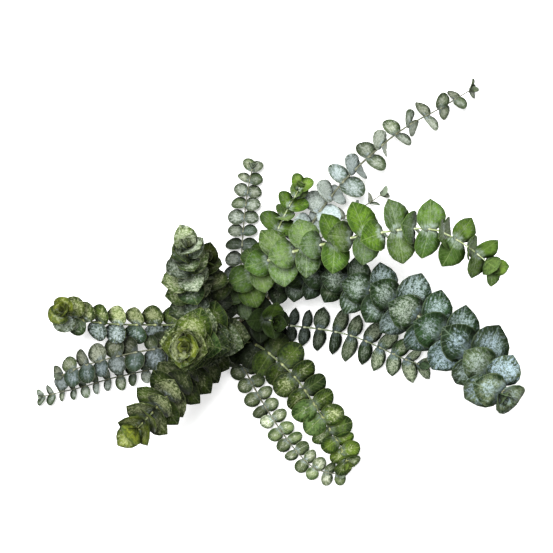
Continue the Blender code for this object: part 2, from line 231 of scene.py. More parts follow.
class NodeFinish:
    """A procedural material, built node by node."""

    def __init__(self, name: str) -> None:
        """Start from the plain shader and the surface's own coordinates.

        Args:
            name: The material's name.
        """
        self.material = bpy.data.materials.new(name)
        self.material.use_nodes = True
        self.tree = self.material.node_tree
        self.shader = self.tree.nodes["Principled BSDF"]
        self.texture = self.node("TexCoord", {})
        self.place = self.texture.outputs["Object"]

    def node(self, kind: str, sockets: dict, **settings: object) -> bpy.types.Node:
        """Add a node.

        Args:
            kind: The node's type, without the ShaderNode that all of them start with.
            sockets: Values or links by the socket's name or number.
            **settings: Its own settings, set before its sockets.

        Returns:
            The node.
        """
        node = self.tree.nodes.new("ShaderNode" + kind)
        for key, setting in settings.items():
            setattr(node, key, setting)
        for key, given in sockets.items():
            self.feed(node.inputs[key], given)
        return node

    def feed(self, socket: bpy.types.NodeSocket, given: object) -> None:
        """Link a value or a socket, or set a plain number or colour.

        Args:
            socket: The socket that takes it.
            given: A Value, a socket, a number, or three numbers.
        """
        if isinstance(given, Value):
            self.tree.links.new(given.socket, socket)
        elif isinstance(given, bpy.types.NodeSocket):
            self.tree.links.new(given, socket)
        elif isinstance(given, tuple) and socket.type == "RGBA":
            socket.default_value = (*given, 1)
        else:
            socket.default_value = given

    def value(self, kind: str, sockets: dict, **settings: object) -> Value:
        """Add a node and take its first output as a number."""
        return Value(self, self.node(kind, sockets, **settings).outputs[0])

    def attribute(self, name: str) -> Value:
        """A number that the mesh carries at each corner."""
        return Value(self, self.node("Attribute", {}, attribute_name=name).outputs["Fac"])

    def noise(self, place: object, scale: float, detail: float, rough: float = 0.5) -> Value:
        """Noise from about 0.2 to 0.8: scale clouds a unit of the place, in finer layers."""
        sockets = {"Vector": place, "Scale": scale, "Detail": detail, "Roughness": rough}
        return self.value("TexNoise", sockets)

    def mix(self, first: object, second: object, share: object) -> bpy.types.NodeSocket:
        """A blend of two colours, the first at share 0. The numbers are a colour Mix's sockets."""
        return self.node("Mix", {0: share, 6: first, 7: second}, data_type="RGBA").outputs[2]

    def shade(self, colour: object, share: object) -> bpy.types.NodeSocket:
        """A colour made lighter or darker by a factor."""
        grey = self.node("CombineXYZ", {0: share, 1: share, 2: share}).outputs[0]
        return self.node("VectorMath", {0: colour, 1: grey}, operation="MULTIPLY").outputs[0]

    def bump(self, height: Value, strength: float, distance: float) -> None:
        """Let a height field tilt the surface, as if it were so many metres deep."""
        sockets = {"Strength": strength, "Distance": distance, "Height": height}
        self.feed(self.shader.inputs["Normal"], self.node("Bump", sockets).outputs[0])

    def surface(self, colour: object, roughness: object) -> None:
        """Give the shader its colour and its roughness."""
        self.feed(self.shader.inputs["Base Color"], colour)
        self.feed(self.shader.inputs["Roughness"], roughness)


@dataclass(frozen=True)
class Finish:
    """A material that is made with nodes."""

    name: str

    def make(self) -> bpy.types.Material:
        """Build the material.

        Returns:
            The material.
        """
        finish = NodeFinish(self.name)
        self.paint(finish)
        return finish.material

    def paint(self, finish: NodeFinish) -> None:
        """Wire up the nodes."""
        raise NotImplementedError


class LeafNodes:
    """The places, marks and noises that a leaf's colours are mixed by."""

    # Noises: clouds in a metre, how many finer layers they have and how strong these are
    BLOTCH = (115, 3, 0.6)
    MOTTLE = (340, 4, 0.72)
    GRAIN = (950, 2)
    STREAKS = (1.5, 4, 0.65)  # these are laid out on the leaf, stretched along its veins
    VEIN_PAIRS = 6.0
    VEIN_SLANT = 0.42

    def __init__(self, finish: NodeFinish) -> None:
        """Lay them out for leaves that carry the attributes of LeafPattern.

        Args:
            finish: The material that they are part of.
        """
        split = finish.node("SeparateXYZ", {"Vector": finish.texture.outputs["UV"]})
        self.along = Value(finish, split.outputs[0])
        across = (Value(finish, split.outputs[1]) - 0.5) * 2.0
        self.side = abs(across)
        self.out = (((self.along - 0.46) * 1.9) ** 2.0 + self.side**2.0) ** 0.5
        self.root = ((self.along + 0.06) * 3.4) ** 2.0 + (self.side * 1.4) ** 2.0
        self.marks = {mark: finish.attribute(mark) for mark in LeafPattern.MARKS}
        self.blotch = finish.noise(finish.place, *self.BLOTCH)
        self.mottle = finish.noise(finish.place, *self.MOTTLE)
        self.grain = finish.noise(finish.place, *self.GRAIN)
        own = {0: self.along * 2.4 - self.side, 1: across * 4.5, 2: self.marks["tone"] * 40.0}
        self.streaks = finish.noise(finish.node("CombineXYZ", own).outputs[0], *self.STREAKS)

    def lines(self) -> Value:
        """The midrib and the side veins, which sway a little.

        Returns:
            1 on a line and 0 beside it.
        """
        sway = (self.blotch - 0.5) * 0.12
        comb = ((self.along - self.side * self.VEIN_SLANT + sway) * self.VEIN_PAIRS).part()
        veins = abs(comb - 0.5).step(0.10, 0.0) * self.side.step(0.95, 0.6) * 0.7
        return self.side.step(0.06, 0.0).higher(veins)

    def dark(self) -> Value:
        """The dark blotches, and a dark ring towards the rim that is partly painted shade."""
        blotches = (self.blotch * 0.5 + self.mottle * 0.5).step(0.43, 0.58)
        return blotches * 0.7 + self.out.step(0.45, 1.0) * 0.7

    def frost(self) -> Value:
        """The pale patch at the base of the leaf, with a ragged edge."""
        patch = (self.root - (self.streaks - 0.5) * 3.0).step(1.8, 0.1)
        return patch * ((self.mottle - 0.5) * 3.0 + 0.8).higher(0.0).lower(1.0)


@dataclass(frozen=True)
class LeafFinish(Finish):
    """Upper and lower face of a waxy leaf, with veins and a patchy pale bloom."""

    LINES = 0.4  # how much the veins show
    SPECULAR = 0.1
    PAINTED_CREASE_SHADE_REACH = 18 * MM  # painted shade: a leaf nearer than this darkens the colour of the one behind it
    RELIEF = 0.8 * MM

    fresh: Colour
    cool: Colour  # of the leaves marked cool
    young: Colour  # of the leaves marked young
    deep: Colour  # of the dark blotches and towards the rim
    bloom: Colour
    cool_bloom: Colour
    cover: float  # how much of the leaf the bloom hides
    heart: float  # how much of the bloom gathers in the middle of the leaf
    streaky: float  # how much of its pattern runs along the veins
    speckle: float
    frost: float  # how much of it the bloom hides near its base
    axil: Colour  # where the leaf meets its stem
    edge: Colour
    edge_show: float
    vein: Colour
    under: Colour

    def dust(self, leaf: LeafNodes, frost: Value) -> Value:
        """How much of the upper face the bloom hides.

        Args:
            leaf: What it is mixed by.
            frost: The pale patch at the base.

        Returns:
            A value from 0 to 1.
        """
        marks = leaf.marks
        dust = leaf.streaks * self.streaky + leaf.mottle * (1 - self.streaky)
        dust = dust + leaf.out.step(1.0, 0.1) * self.heart + marks["dusty"] * 0.06
        dust = dust.step(0.49, 0.76) * (1 - marks["young"] * 0.25)
        grit = (leaf.mottle * 0.5 + leaf.grain * 0.5).step(0.42, 0.56) - 1
        dust = dust * (grit * self.speckle * 0.8 + 1)
        return (dust * self.cover).higher(frost * self.frost)

    def paint(self, finish: NodeFinish) -> None:
        """Wire up the nodes.

        Args:
            finish: The material.
        """
        leaf = LeafNodes(finish)
        lines, dark, frost = leaf.lines(), leaf.dark(), leaf.frost()
        dust, swing = self.dust(leaf, frost), leaf.mottle - 0.5
        tone, young, cool, under, bright, rim = (
            leaf.marks[mark] for mark in ("tone", "young", "cool", "under", "bright", "rim")
        )
        flush = (young * (1 - dark * 0.8) * (swing * 5.0 + 0.75)).higher(0.0)

        above = finish.mix(self.fresh, self.cool, cool)
        above = finish.mix(above, self.deep, dark.lower(0.92))
        above = finish.mix(above, self.young, flush.lower(1.0))
        above = finish.shade(above, tone * 0.7 + 0.6 + (leaf.grain - 0.5) * self.speckle)
        above = finish.mix(above, self.vein, lines * self.LINES)
        bloom = finish.mix(self.bloom, self.cool_bloom, cool.higher(frost))
        above = finish.mix(above, bloom, dust)
        above = finish.mix(above, self.axil, leaf.root.step(0.14, 0.03) * 0.8)
        above = finish.mix(above, self.edge, rim.step(0.80, 0.98) * self.edge_show)

        below = finish.mix(self.under, self.young, flush.lower(0.5))
        below = finish.shade(below, tone * 0.3 + 0.75 + swing * 2.4)
        below = finish.mix(below, self.vein, lines * self.LINES)

        # Painted shade: the colour is darkened where other leaves are near, and multiplied by the
        # leaf's lightness mark, which carries painted shade too
        painted_crease_shade = finish.node("AmbientOcclusion", {"Distance": self.PAINTED_CREASE_SHADE_REACH}, samples=4)
        light = Value(finish, painted_crease_shade.outputs["AO"]).step(0.15, 0.9) * 0.75 + 0.25
        colour = finish.shade(finish.mix(above, below, under), bright * light)
        finish.surface(colour, dust * 0.2 + under * 0.1 + 0.6)
        finish.shader.inputs["Specular IOR Level"].default_value = self.SPECULAR
        finish.bump(lines * -0.6 + leaf.blotch * 0.8 + leaf.mottle * 0.6, 0.6, self.RELIEF)


@dataclass(frozen=True)
class StemFinish(Finish):
    """Young green stem with a pale bloom, strongest where the leaves stand."""

    CLOUD = (300, 4, 0.7)  # a noise, as in LeafNodes
    RELIEF = 0.4 * MM

    green: Colour
    bloom: Colour
    axil: Colour  # where the leaves stand

    def paint(self, finish: NodeFinish) -> None:
        """Wire up the nodes, for stems that carry the attribute axil.

        Args:
            finish: The material.
        """
        axil = finish.attribute("axil")
        cloud = finish.noise(finish.place, *self.CLOUD)
        colour = finish.shade(self.green, cloud * 1.6 + 0.2)
        colour = finish.mix(colour, self.bloom, (cloud + axil * 0.15).step(0.50, 0.66) * 0.75)
        colour = finish.mix(colour, self.axil, axil.step(0.3, 1.0) * 0.6)
        finish.surface(colour, cloud * 0.2 + 0.45)
        finish.bump(cloud, 0.3, self.RELIEF)


@dataclass(frozen=True)
class BarkFinish(Finish):
    """Smooth young bark with streaks along the wood, and a pale cut end."""

    # Noises, as in LeafNodes
    STREAKS = (520, 5, 0.7)
    PATCHES = (70, 3)
    RINGS = (900, 2)
    STRETCH = {"Rotation": (0, 0, -math.pi / 4), "Scale": (0.12, 1, 1)}  # along the wood
    RELIEF = 0.6 * MM

    bark: Colour
    streak: Colour
    wood: Colour

    def paint(self, finish: NodeFinish) -> None:
        """Wire up the nodes, for wood that runs at 45 degrees and carries the attribute cut.

        Args:
            finish: The material.
        """
        laid = finish.node("Mapping", {"Vector": finish.place, **self.STRETCH}).outputs[0]
        streaks = finish.noise(laid, *self.STREAKS)
        patches = finish.noise(finish.place, *self.PATCHES)
        rings = finish.noise(finish.place, *self.RINGS) * 0.3 + 0.8
        colour = finish.mix(self.bark, self.streak, streaks.step(0.42, 0.62))
        colour = finish.shade(colour, patches * 0.9 + 0.55)
        colour = finish.mix(colour, finish.shade(self.wood, rings), finish.attribute("cut"))
        finish.surface(colour, streaks * 0.3 + 0.55)
        finish.bump(streaks, 0.5, self.RELIEF)


@dataclass(frozen=True)
class FloorFinish(Finish):
    """Matt pale paper that the branch lies on."""

    CLOUD = (3, 2)  # a noise, as in LeafNodes

    colour: Colour
    glow: float  # keeps the shadows on it faint

    def paint(self, finish: NodeFinish) -> None:
        """Wire up the nodes.

        Args:
            finish: The material.
        """
        cloud = finish.noise(finish.place, *self.CLOUD)
        finish.surface(finish.shade(self.colour, cloud * 0.02 + 0.99), 0.9)
        finish.shader.inputs["Emission Color"].default_value = (1, 1, 1, 1)
        finish.shader.inputs["Emission Strength"].default_value = self.glow


class Kind(Enum):
    """The four kinds of leafy stem, each with a name for its leaves."""

    GREEN = "leaf_green"
    BLUE = "leaf_blue"
    GREY = "leaf_grey"
    OLIVE = "leaf_olive"


LEAF_FINISHES = {
    Kind.GREEN: LeafFinish(
        "green_leaf", fresh=(0.118, 0.22, 0.014), cool=(0.044, 0.096, 0.03),
        young=(0.23, 0.31, 0.06), deep=(0.026, 0.062, 0.006), bloom=(0.37, 0.45, 0.24),
        cool_bloom=(0.43, 0.53, 0.47), cover=0.4, heart=0.1, streaky=0.4, speckle=0.5, frost=0.85,
        axil=(0.48, 0.52, 0.3), edge=(0.2, 0.28, 0.08), edge_show=0.3, vein=(0.26, 0.35, 0.13),
        under=(0.08, 0.14, 0.035),
    ),
    Kind.BLUE: LeafFinish(
        "blue_leaf", fresh=(0.038, 0.072, 0.016), cool=(0.014, 0.038, 0.02),
        young=(0.29, 0.33, 0.17), deep=(0.004, 0.012, 0.002), bloom=(0.34, 0.39, 0.27),
        cool_bloom=(0.285, 0.375, 0.435), cover=0.95, heart=0.25, streaky=0.6, speckle=1.1,
        frost=0.4, axil=(0.5, 0.49, 0.26), edge=(0.14, 0.19, 0.1), edge_show=0.3,
        vein=(0.17, 0.23, 0.16), under=(0.06, 0.1, 0.048),
    ),
    Kind.GREY: LeafFinish(
        "grey_leaf", fresh=(0.1, 0.13, 0.052), cool=(0.058, 0.098, 0.076),
        young=(0.21, 0.28, 0.11), deep=(0.016, 0.032, 0.008), bloom=(0.5, 0.53, 0.41),
        cool_bloom=(0.44, 0.52, 0.56), cover=0.82, heart=0.18, streaky=0.45, speckle=0.6,
        frost=0.3, axil=(0.42, 0.41, 0.22), edge=(0.34, 0.37, 0.24), edge_show=0.4,
        vein=(0.28, 0.32, 0.24), under=(0.15, 0.185, 0.13),
    ),
    Kind.OLIVE: LeafFinish(
        "olive_leaf", fresh=(0.052, 0.088, 0.008), cool=(0.038, 0.072, 0.046),
        young=(0.26, 0.29, 0.026), deep=(0.004, 0.013, 0.001), bloom=(0.38, 0.42, 0.22),
        cool_bloom=(0.37, 0.44, 0.44), cover=0.85, heart=0.18, streaky=0.2, speckle=0.9,
        frost=0.15, axil=(0.36, 0.37, 0.13), edge=(0.16, 0.19, 0.05), edge_show=0.25,
        vein=(0.18, 0.22, 0.08), under=(0.05, 0.078, 0.014),
    ),
}
STEM_FINISHES = {
    Kind.GREEN: StemFinish("green_stem", (0.3, 0.36, 0.14), (0.48, 0.54, 0.47), (0.5, 0.52, 0.3)),
    Kind.BLUE: StemFinish("blue_stem", (0.13, 0.16, 0.07), (0.3, 0.35, 0.3), (0.48, 0.46, 0.25)),
    Kind.GREY: StemFinish(
        "grey_stem", (0.075, 0.08, 0.036), (0.18, 0.2, 0.15), (0.24, 0.24, 0.13)
    ),
    Kind.OLIVE: StemFinish(
        "olive_stem", (0.1, 0.125, 0.04), (0.2, 0.24, 0.15), (0.42, 0.43, 0.16)
    ),
}
BARK_FINISH = BarkFinish(
    "young_bark", bark=(0.12, 0.085, 0.045), streak=(0.19, 0.17, 0.095), wood=(0.52, 0.43, 0.26)
)
FLOOR_FINISH = FloorFinish("pale_paper", (0.9, 0.9, 0.9), glow=0.42)


# Routes


def spline_point(before: Vector, start: Vector, end: Vector, after: Vector, t: float) -> Vector:
    """Catmull-Rom spline between start and end, at a share t of the way."""
    bend, twist = 2 * before - 5 * start + 4 * end - after, 3 * start - before - 3 * end + after
    return 0.5 * (2 * start + (end - before) * t + bend * t**2 + twist * t**3)


def point_at(route: list[Vector], reach: list[float], distance: float) -> Vector:
    """The place at a distance along a route.

    Args:
        route: Its points.
        reach: The distance of each point.
        distance: The distance that is asked for.

    Returns:
        The place.
    """
    i = 1
    while i < len(route) - 1 and reach[i] < distance:
        i += 1
    share = (distance - reach[i - 1]) / (reach[i] - reach[i - 1])
    return route[i - 1].lerp(route[i], share)


def reaches(route: list[Vector]) -> list[float]:
    """The distance of each of a route's points from its start."""
    steps = [(end - start).length for start, end in zip(route, route[1:])]
    return [0.0, *accumulate(steps)]


class Path:
    """A smooth route that gives its place and direction at any distance along it."""

    CURVE_SAMPLES = 12
    FOOT_LENGTH = 3 * MM
    SLOPE_REACH = 2 * MM

    def __init__(self, points: list[Vector], step: float) -> None:
        """Space the route evenly.

        Args:
            points: Points that it goes through.
            step: Rough distance between its own points.
        """
        padded = [2 * points[0] - points[1], *points, 2 * points[-1] - points[-2]]
        dense = [points[0]]
        for i in range(1, len(padded) - 2):
            for k in range(self.CURVE_SAMPLES):
                share = (k + 1) / self.CURVE_SAMPLES
                dense.append(spline_point(*padded[i - 1 : i + 3], share))
        reach = reaches(dense)
        count = max(2, round(reach[-1] / step))
        distances = [0, self.FOOT_LENGTH / 2, self.FOOT_LENGTH]
        distances += [reach[-1] * (k + 1) / count for k in range(count)]
        self.points = [point_at(dense, reach, distance) for distance in distances]
        self.reach = reaches(self.points)
        self.length = self.reach[-1]
        self.side = (self.points[-1] - self.points[0]).cross(UP).normalized()

    def at(self, distance: float) -> Vector:
        """The place at a distance from the foot."""
        return point_at(self.points, self.reach, distance)

    def direction(self, distance: float) -> Vector:
        """Which way the path runs.

        Args:
            distance: Distance from the foot.

        Returns:
            A unit vector.
        """
        near = max(distance - self.SLOPE_REACH, 0)
        far = min(distance + self.SLOPE_REACH, self.length)
        return (self.at(far) - self.at(near)).normalized()

    def frame(self, distance: float) -> tuple[Vector, Vector, Vector]:
        """Three directions at right angles.

        Args:
            distance: Distance from the foot.

        Returns:
            Which way the path runs, its side and its back.
        """
        along = self.direction(distance)
        side = (self.side - along * self.side.dot(along)).normalized()
        return along, side, side.cross(along)


@dataclass(frozen=True)
class Leaf:
    """A leaf's place, its directions, its size and how far along the stem it stands."""

    base: Vector
    midrib: Vector
    face: Vector
    width: float
    length: float
    share: float  # of the stem's leaves, over 1 for those that close the tip


@dataclass(frozen=True)
class LeafPattern:
    """One leaf, a metre long and wide, that many leaves of the branch are copies of."""

    # The attributes that its finish reads, of which the last two are its own
    MARKS = ("tone", "young", "dusty", "cool", "bright", "rim", "under")

    name: str
    # Place along the leaf and half width of each of its columns
    columns: tuple
    # Place across the leaf of each of its rows, from one rim to the other
    rows: tuple = (-1.0, -0.56, 0.0, 0.56, 1.0)
    lobe: float = 0.075  # how far the base reaches back beside the stem
    groove: float = 0.03
    thickness: float = 0.014
    cup: float = 0.10  # how far the rim rises over the middle
    droop: float = 0.35  # how far the tip falls, as a share of that
    middle: float = 0.47  # how far along the leaf it is widest

    def model(self) -> bpy.types.Object:
        """Model the leaf flat, with a groove along its midrib.

        Returns:
            The finished leaf, which isn't part of the branch.
        """
        count = len(self.columns)
        last_column, last_row = count - 1, len(self.rows) - 1
        bpy.ops.object.select_all(action="DESELECT")
        bpy.ops.mesh.primitive_grid_add(
            x_subdivisions=last_column, y_subdivisions=last_row, size=2, location=(0, 0, 0)
        )
        piece = bpy.context.object
        piece.name = self.name
        with EditMode(piece) as edit:
            for j, place in enumerate(self.rows):
                edit.pick(lambda vert, j=j: vert.index // count == j)
                bpy.ops.transform.translate(value=(0, place - (2 * j / last_row - 1), 0))
            for i, (place, half) in enumerate(self.columns):
                level = 2 * i / last_column - 1
                edit.pick(lambda vert, i=i: vert.index % count == i)
                bpy.ops.transform.resize(value=(1, half, 1), center_override=(level, 0, 0))
                bpy.ops.transform.translate(value=(place - level, 0, 0))
            edit.pick(lambda vert: vert.index % count == 0 and vert.index != last_row // 2 * count)
            bpy.ops.transform.translate(value=(-self.lobe, 0, 0))
            edit.pick(lambda vert: vert.index // count == last_row // 2)
            bpy.ops.transform.translate(value=(0, 0, -self.groove))
        self.note(piece.data)
        wall = piece.modifiers.new("wall", "SOLIDIFY")
        wall.thickness = self.thickness
        wall.offset = 0
        select_only(piece)
        bpy.ops.object.modifier_apply(modifier=wall.name)
        bpy.ops.object.shade_smooth()
        upper = len(piece.data.vertices) // 2
        mark_corners(piece.data, "under", [vert.index >= upper for vert in piece.data.vertices])
        return piece

    def note(self, mesh: bpy.types.Mesh) -> None:
        """Give the flat leaf its own UV map and mark its rim.

        Args:
            mesh: The leaf, still a single sheet.
        """
        count = len(self.columns)
        places = np.array([vert.co for vert in mesh.vertices])
        corners = np.array([loop.vertex_index for loop in mesh.loops])
        flat = places[corners][:, :2] + (0, 0.5)
        mesh.uv_layers.active.data.foreach_set("uv", flat.ravel())
        ends, sides = (0, count - 1), (0, len(self.rows) - 1)
        rim = [k % count in ends or k // count in sides for k in range(len(places))]
        mark_corners(mesh, "rim", rim)


POINTED = LeafPattern(
    "pointed_leaf",
    columns=((0.0, 0.16), (0.09, 0.36), (0.25, 0.478), (0.45, 0.505), (0.65, 0.45),
             (0.82, 0.315), (0.93, 0.15), (1.01, 0.02)),
)
BLUNT = LeafPattern(
    "blunt_leaf",
    columns=((0.0, 0.18), (0.09, 0.37), (0.25, 0.480), (0.45, 0.510), (0.65, 0.468),
             (0.83, 0.355), (0.94, 0.215), (0.99, 0.07)),
)


# Leafy stems


@dataclass(frozen=True)
class LeafyStem:
    """One leafy stem: where it leaves the wood, where it runs and what leaves it bears."""

    name: str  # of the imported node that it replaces
    kind: Kind
    seat: float  # how far along the wood it stands, in millimetres like all its lengths
    radius: float
    bare: float  # share of it below the first leaves
    pairs: int
    spread: float  # degrees between a leaf and the stem
    light: float  # how far the leaves turn their upper face to the sky, 0 to 1
    leaf: float  # width of the largest
    tip_size: float  # of the last leaves, as a share of the largest
    route: tuple  # points that it goes through, from the hub
    ranks: int = 4  # rows of leaves: 2 where all pairs stand one way, or 4
    turn: float = 0  # of the first pair about the stem, in degrees
    slender: float = 1.0  # length of a leaf for its width
    base_size: float = 1  # of the first leaves
    peak: float = 0  # where the largest leaves are, as a share of the pairs
    recline: float = 0  # degrees that the leaves on top lean back
    crowding: float = 1  # how much closer together small leaves stand
    taper: float = 2.2  # how late the leaves get small
    closing: float = 30  # spread of the last leaves
    pattern: LeafPattern = POINTED
    dusty: tuple = (0.0, 0.0)  # more bloom than usual, at the foot and at the tip
    cool: tuple = (0.0, 0.0)  # how blue its leaves are there
    cool_painted_shade_side: float = 0.0  # how much bluer the leaves on its -Y side are, as painted shade on that side
    glow: float = 0.0  # how yellow-green its last leaves are
    bright: tuple = (1.0, 1.0)  # how light its leaves are at the foot and at the tip: partly their own tone, partly painted shade
    look: Kind | None = None  # the kind that it looks like, if not its own

    def leaf_size(self, share: float) -> float:
        """Size of a pair of leaves.

        Args:
            share: How far up the stem's pairs it is, from 0 to 1.

        Returns:
            Its size, as a share of the largest.
        """
        if share < self.peak:
            return 1 - (1 - self.base_size) * (1 - share / self.peak)
        fall = (share - self.peak) / (1 - self.peak)
        return 1 - (1 - self.tip_size) * fall**self.taper


STEMS = (
    LeafyStem(
        "leafy_stem_right_green", Kind.GREEN, seat=150, radius=1.9, bare=0.12, pairs=23,
        spread=100, light=0.66, leaf=31.5, tip_size=0.42, base_size=0.86, peak=0.55, recline=14,
        closing=45,
        route=((10, 36, 50), (19, 58, 82), (40, 75, 102), (80, 86, 124), (136, 98, 144),
               (191, 103, 160), (221, 90, 167), (241, 75, 170), (252, 64, 172)),
        dusty=(1.6, -0.7), cool=(0.4, 0.5), glow=0.4, bright=(0.98, 0.86),
    ),
    LeafyStem(
        "leafy_stem_right_blue", Kind.BLUE, seat=161, radius=1.9, bare=0.14, pairs=22, spread=102,
        light=0.66, leaf=39, slender=0.98, tip_size=0.74, base_size=0.6, peak=0.76, recline=34,
        closing=92,
        route=((38, 42, 42), (72, 56, 64), (120, 50, 87), (165, 31, 108), (192, 13, 124),
               (215, -4, 140), (236, -20, 156), (248, -34, 174), (256, -53, 196)),
        dusty=(-1.2, 0.3), cool=(0.1, 0.8), glow=0.6, bright=(0.65, 1.24),
    ),
    LeafyStem(
        "leafy_stem_leader", Kind.OLIVE, seat=114, radius=1.8, bare=0.24, pairs=16, turn=20,
        spread=72, light=0, leaf=34, tip_size=0.74,
        route=((-13, -2, 60), (-24, -2, 110), (-33, -4, 160), (-38, -6, 205), (-39, -7, 222)),
        dusty=(0, -0.2), cool=(0.3, 0), glow=0.9, bright=(0.75, 1.25),
    ),
    LeafyStem(
        "leafy_stem_up_left", Kind.OLIVE, seat=127, radius=1.7, bare=0.24, pairs=14, spread=72,
        light=0.15, leaf=28, tip_size=0.76,
        route=((-24, 8, 45), (-35, 20, 85), (-42, 38, 125), (-42, 63, 170), (-38, 84, 204)),
        dusty=(-0.4, 0.8), cool=(0.3, 0.4), glow=0.25, bright=(0.6, 1.15),
    ),
    LeafyStem(
        "leafy_stem_down_left", Kind.OLIVE, seat=74, radius=1.8, bare=0.22, pairs=16, spread=76,
        light=0.25, leaf=32, tip_size=0.7,
        route=((-28, -23, 50), (-44, -41, 90), (-63, -61, 125), (-79, -79, 153), (-90, -90, 167)),
        dusty=(-0.3, -0.3), cool=(-0.3, -0.3), glow=0.9, bright=(0.56, 0.9),
    ),
    LeafyStem(
        "leafy_stem_upper_right", Kind.GREY, seat=200, radius=1.5, bare=0.16, pairs=14, turn=30,
        spread=76, light=0.7, leaf=28, slender=1.08, tip_size=0.48, recline=22, crowding=0,
        taper=1, closing=60,
        route=((75, 101, 30), (109, 150, 42), (146, 187, 42), (182, 216, 36), (221, 238, 28),
               (255, 259, 20)),
        pattern=BLUNT, dusty=(3.4, -0.6), cool=(0.8, 0.2), glow=0.7, bright=(1.25, 0.8),
    ),
    LeafyStem(
        "leafy_stem_lower_right", Kind.GREEN, seat=105, radius=1.5, bare=0.08, pairs=12, ranks=2,
        spread=84, light=0.84, leaf=27, tip_size=0.6, closing=55,
        route=((23, -17, 28), (41, -29, 40), (65, -51, 45), (85, -80, 42), (100, -104, 35),
               (112, -124, 28), (121, -144, 22)),
        pattern=BLUNT, dusty=(-2.5, -1.2), cool=(0.1, 0), glow=0.1, bright=(1.05, 1.7),
        look=Kind.OLIVE,
    ),
    LeafyStem(
        "leafy_stem_left_tip_up", Kind.OLIVE, seat=97, radius=1.4, bare=0.22, pairs=9, ranks=2,
        turn=18, spread=86, light=0.8, leaf=25, slender=0.85, tip_size=0.95, closing=52,
        route=((-38, 3, 26), (-74, 5, 42), (-121, 6, 52), (-154, 10, 62), (-169, 17, 78),
               (-173, 22, 98)),
        pattern=BLUNT, dusty=(0.3, 0), cool=(0.5, 0.1), cool_painted_shade_side=0.8, glow=0.9, bright=(1.0, 1.2),
    ),
    LeafyStem(
        "leafy_stem_left", Kind.GREY, seat=87, radius=1.3, bare=0.2, pairs=9, ranks=2, turn=-18,
        spread=84, light=0.8, leaf=23, slender=0.96, tip_size=0.62, closing=50,
        route=((-44, -17, 24), (-74, -19, 44), (-111, -25, 50), (-143, -33, 48), (-170, -42, 42),
               (-185, -49, 38)),
        pattern=BLUNT, dusty=(-0.5, 0), cool=(0.2, 0.1), cool_painted_shade_side=0.8, bright=(0.4, 0.68),
    ),
    LeafyStem(
        "leafy_stem_left_thin", Kind.GREY, seat=58, radius=1.0, bare=0.16, pairs=12, ranks=2,
        turn=-12, spread=78, light=0.66, leaf=13, slender=1.15, tip_size=0.7, closing=50,
        route=((-60, -34, 10), (-93, -45, 8), (-137, -55, 7), (-170, -65, 7), (-192, -70, 6),
               (-212, -75, 6)),
        pattern=BLUNT, dusty=(0.1, 0.3), cool=(0.3, 0.2), bright=(0.75, 1.2),
    ),
    LeafyStem(
        "leafy_stem_up_thin", Kind.GREY, seat=145, radius=1.1, bare=0.18, pairs=10, ranks=2,
        spread=84, light=0.64, leaf=18, tip_size=0.72, closing=50,
        route=((5, 33, 11), (6, 73, 10), (9, 117, 10), (13, 150, 9), (18, 175, 9)),
        pattern=BLUNT, dusty=(-0.3, 0.3), cool=(0.7, 0), glow=0.1, bright=(0.78, 0.98),
    ),
    LeafyStem(
        "leafy_stem_up_short", Kind.GREEN, seat=174, radius=1.2, bare=0.34, pairs=7, spread=70,
        light=0.5, leaf=22, slender=1.05, tip_size=0.62,
        route=((38, 72, 25), (44, 101, 32), (55, 126, 42), (64, 141, 50), (69, 151, 56)),
        pattern=BLUNT, dusty=(-0.8, 1.2), cool=(0.4, 0), glow=0.3, bright=(0.6, 1.25),
    ),
    LeafyStem(
        "leafy_stem_lower_right_thin", Kind.GREY, seat=78, radius=1.1, bare=0.16, pairs=13,
        ranks=2, spread=84, light=0.84, leaf=17, slender=0.98, tip_size=0.8, closing=60,
        route=((0, -23, 11), (7, -39, 10), (23, -70, 9), (42, -101, 9), (65, -133, 8),
               (87, -154, 8), (113, -160, 8)),
        pattern=BLUNT, dusty=(-0.6, -1.0), cool=(-0.3, -0.3), glow=0.1, bright=(1.9, 1.3),
    ),
    LeafyStem(
        "leafy_stem_right_narrow", Kind.BLUE, seat=125, radius=1.2, bare=0.2, pairs=11, ranks=2,
        spread=80, light=0.66, leaf=21, slender=1.3, tip_size=0.72, base_size=0.6, peak=0.35,
        route=((43, 4, 14), (70, 2, 15), (101, -2, 15), (133, -10, 14), (164, -24, 13),
               (183, -33, 12), (201, -39, 11)),
        dusty=(-0.8, 0.7), cool=(0.4, -0.3), bright=(0.46, 1.1),
    ),
    LeafyStem(
        "leafy_stem_behind_green", Kind.GREY, seat=187, radius=1.1, bare=0.16, pairs=8, turn=30,
        spread=74, light=0.3, leaf=14, slender=1.1, tip_size=0.75,
        route=((81, 85, 20), (113, 118, 24), (140, 133, 24), (159, 146, 20)),
        pattern=BLUNT, dusty=(0.9, 1.2), cool=(0.4, 0.2), bright=(1.1, 1.2),
    ),
    LeafyStem(
        "leafy_stem_up_left_low", Kind.OLIVE, seat=138, radius=1.4, bare=0.34, pairs=10, turn=45,
        spread=72, light=0.25, leaf=26, tip_size=0.74,
        route=((-14, 23, 40), (-21, 30, 70), (-24, 43, 100), (-25, 59, 128), (-24, 71, 145)),
        dusty=(-0.3, 0), cool=(0.2, 0.1), glow=0.3, bright=(0.4, 0.7),
    ),
    LeafyStem(
        "leafy_stem_middle", Kind.OLIVE, seat=133, radius=1.3, bare=0.3, pairs=6, spread=74,
        light=0.2, leaf=26, tip_size=0.6,
        route=((18, 12, 42), (32, 13, 70), (42, 10, 92)),
        dusty=(-2.0, -1.5), cool=(0.5, 0.2), bright=(0.2, 0.42), look=Kind.GREEN,
    ),
)


